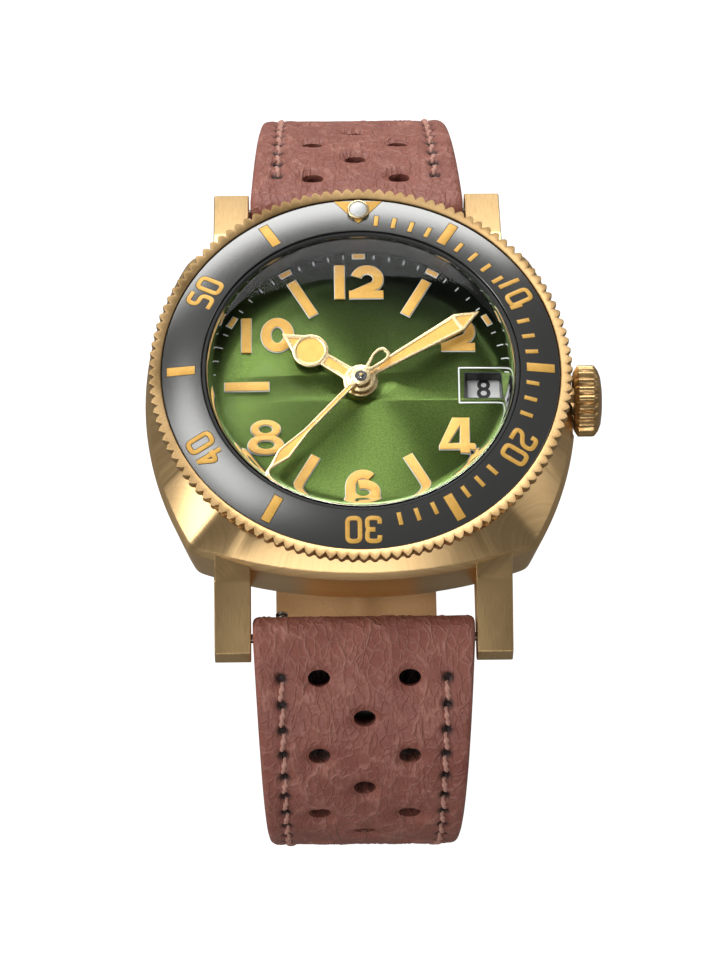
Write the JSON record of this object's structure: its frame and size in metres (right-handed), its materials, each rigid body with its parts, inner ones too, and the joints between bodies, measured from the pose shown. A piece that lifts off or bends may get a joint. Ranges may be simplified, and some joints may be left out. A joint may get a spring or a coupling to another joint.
{
  "type": "dive watch",
  "caption": "Automatic wristwatch with a cushion case, turning coin-edge bezel, domed crystal, screw-down crown and a perforated two-piece leather strap with pin buckle.",
  "frame": {"origin": "centre of the case back's flat outer face", "axes": "+Z out of the dial along the hands' axis, +Y to 12 o'clock, +X to the crown at 3 o'clock"},
  "size_m": [0.0414, 0.0785, 0.058],
  "materials": {
    "bronze": "brushed bronze with satin flanks",
    "bezel_black": "gloss gunmetal ceramic with gold markings",
    "lume_white": "domed luminous pip",
    "sapphire": "clear polished domed sapphire",
    "steel": "fine brushed",
    "brass": "fine brushed gilt",
    "dial_green": "sunburst lacquer with raised gold numerals",
    "gold": "polished frame with cream luminous fill",
    "date_white": "satin",
    "black_ring": "satin black",
    "rubber": "matte",
    "leather": "creased grain, perforated and stitched",
    "lining": "smooth natural lining"
  },
  "bodies": {
    "case": {"mid_case": "bronze", "case_back": "bronze", "case_back_gasket": "rubber", "crystal": "sapphire", "crystal_gasket": "rubber", "rehaut_ring": "black_ring", "dial": "dial_green", "movement_holder": "steel", "main_plate": "brass", "barrel_bridge": "steel", "train_bridge": "steel", "escapement_bridge": "steel", "balance_cock": "steel", "bridge_screw_1": "steel", "bridge_screw_2": "steel", "bridge_screw_3": "steel", "bridge_screw_4": "steel", "rotor_bearing": "steel", "crown_tube": "bronze", "bezel_click_spring": "steel", "bezel_retaining_ring": "steel"},
    "bezel": {"bezel_ring": "bronze", "bezel_insert": "bezel_black", "lume_pip": "lume_white"},
    "crown_carrier": {"crown_gasket": "rubber"},
    "crown": {"crown": "bronze", "winding_stem": "steel", "sliding_pinion": "steel"},
    "seconds": {"seconds_hand": "gold", "fourth_wheel": "brass"},
    "minutes": {"minute_hand": "gold", "cannon_pinion": "steel", "centre_wheel": "brass"},
    "hours": {"hour_hand": "gold", "hour_wheel": "brass"},
    "minute_wheel": {"minute_wheel": "brass"},
    "third_wheel": {"third_wheel": "brass"},
    "escape_wheel": {"escape_wheel": "steel"},
    "barrel": {"mainspring_barrel": "brass"},
    "pallet_fork": {"pallet_fork": "steel"},
    "balance": {"balance_wheel": "gold", "hairspring": "steel"},
    "rotor": {"winding_rotor": "steel"},
    "date_disc": {"date_disc": "date_white"},
    "lower_strap": {"lower_strap": "leather", "lower_strap_lining": "lining", "lower_spring_bar": "steel"},
    "lower_release": {"lower_release_knob": "steel"},
    "upper_strap": {"upper_strap": "leather", "upper_strap_lining": "lining", "upper_spring_bar": "steel", "fixed_keeper": "leather", "buckle_bar": "steel"},
    "upper_release": {"upper_release_knob": "steel"},
    "free_keeper": {"free_keeper": "leather"},
    "buckle_frame": {"buckle_frame": "bronze"},
    "buckle_tongue": {"buckle_tongue": "bronze"}
  },
  "joints": [
    {"name": "bezel_turn", "type": "hinge", "parent": "case", "child": "bezel", "pos_m": [0, 0, 0.0112], "axis": [0, 0, 1], "continuous": true},
    {"name": "crown_pull", "type": "slide", "parent": "case", "child": "crown_carrier", "axis": [1, 0, 0], "range_m": [0, 0.002]},
    {"name": "crown_turn", "type": "hinge", "parent": "crown_carrier", "child": "crown", "pos_m": [0.0206, 0, 0.0065], "axis": [1, 0, 0], "continuous": true},
    {"name": "seconds_turn", "type": "hinge", "parent": "case", "child": "seconds", "pos_m": [0, 0, 0.0104], "axis": [0, 0, -1], "continuous": true},
    {"name": "minutes_turn", "type": "hinge", "parent": "case", "child": "minutes", "pos_m": [0, 0, 0.01], "axis": [0, 0, -1], "continuous": true},
    {"name": "hours_turn", "type": "hinge", "parent": "case", "child": "hours", "pos_m": [0, 0, 0.0096], "axis": [0, 0, -1], "continuous": true},
    {"name": "minute_wheel_turn", "type": "hinge", "parent": "case", "child": "minute_wheel", "pos_m": [0.00168, 0.00291, 0.0075], "axis": [0, 0, -1], "continuous": true},
    {"name": "third_wheel_turn", "type": "hinge", "parent": "case", "child": "third_wheel", "pos_m": [-0.00119, -0.00443, 0.0045], "axis": [0, 0, -1], "continuous": true},
    {"name": "escape_wheel_turn", "type": "hinge", "parent": "case", "child": "escape_wheel", "pos_m": [0.00372, -0.00135, 0.0045], "axis": [0, 0, -1], "continuous": true},
    {"name": "barrel_turn", "type": "hinge", "parent": "case", "child": "barrel", "pos_m": [-0.00572, 0.0033, 0.005], "axis": [0, 0, -1], "continuous": true},
    {"name": "balance_turn", "type": "hinge", "parent": "case", "child": "balance", "pos_m": [0.0058, -0.0058, 0.005], "axis": [0, 0, 1], "range_deg": [-270, 270]},
    {"name": "pallet_swing", "type": "hinge", "parent": "case", "child": "pallet_fork", "pos_m": [0.0047, -0.00344, 0.0047], "axis": [0, 0, 1], "range_deg": [-6, 6]},
    {"name": "rotor_turn", "type": "hinge", "parent": "case", "child": "rotor", "pos_m": [0, 0, 0.0017], "axis": [0, 0, 1], "continuous": true},
    {"name": "date_turn", "type": "hinge", "parent": "case", "child": "date_disc", "pos_m": [0, 0, 0.0075], "axis": [0, 0, 1], "continuous": true},
    {"name": "lower_strap_open", "type": "hinge", "parent": "case", "child": "lower_strap", "pos_m": [0, -0.022, 0.0032], "axis": [-1, 0, 0], "range_deg": [0, 110]},
    {"name": "lower_release_slide", "type": "slide", "parent": "lower_strap", "child": "lower_release", "axis": [1, 0, 0], "range_m": [0, 0.001]},
    {"name": "upper_strap_open", "type": "hinge", "parent": "case", "child": "upper_strap", "pos_m": [0, 0.022, 0.0032], "axis": [1, 0, 0], "range_deg": [0, 110]},
    {"name": "upper_release_slide", "type": "slide", "parent": "upper_strap", "child": "upper_release", "axis": [1, 0, 0], "range_m": [0, 0.001]},
    {"name": "free_keeper_slide", "type": "slide", "parent": "upper_strap", "child": "free_keeper", "axis": [0, -1, 0], "range_m": [0, 0.004]},
    {"name": "buckle_frame_turn", "type": "hinge", "parent": "upper_strap", "child": "buckle_frame", "pos_m": [0, 0.01196, -0.03689], "axis": [-1, 0, 0], "range_deg": [0, 90]},
    {"name": "buckle_tongue_turn", "type": "hinge", "parent": "buckle_frame", "child": "buckle_tongue", "pos_m": [0, 0.01196, -0.03689], "axis": [1, 0, 0], "range_deg": [0, 110]}
  ],
  "couplings": [
    {"joint": "minutes_turn", "follows": "seconds_turn", "ratio": 0.016667},
    {"joint": "hours_turn", "follows": "seconds_turn", "ratio": 0.0013889},
    {"joint": "minute_wheel_turn", "follows": "seconds_turn", "ratio": -0.0055556},
    {"joint": "third_wheel_turn", "follows": "seconds_turn", "ratio": -0.13333},
    {"joint": "escape_wheel_turn", "follows": "seconds_turn", "ratio": -10},
    {"joint": "barrel_turn", "follows": "seconds_turn", "ratio": -0.0027778},
    {"joint": "pallet_swing", "follows": "balance_turn", "ratio": -0.022},
    {"joint": "upper_strap_open", "follows": "lower_strap_open", "ratio": 1},
    {"joint": "buckle_tongue_turn", "follows": "lower_strap_open", "ratio": 1}
  ]
}
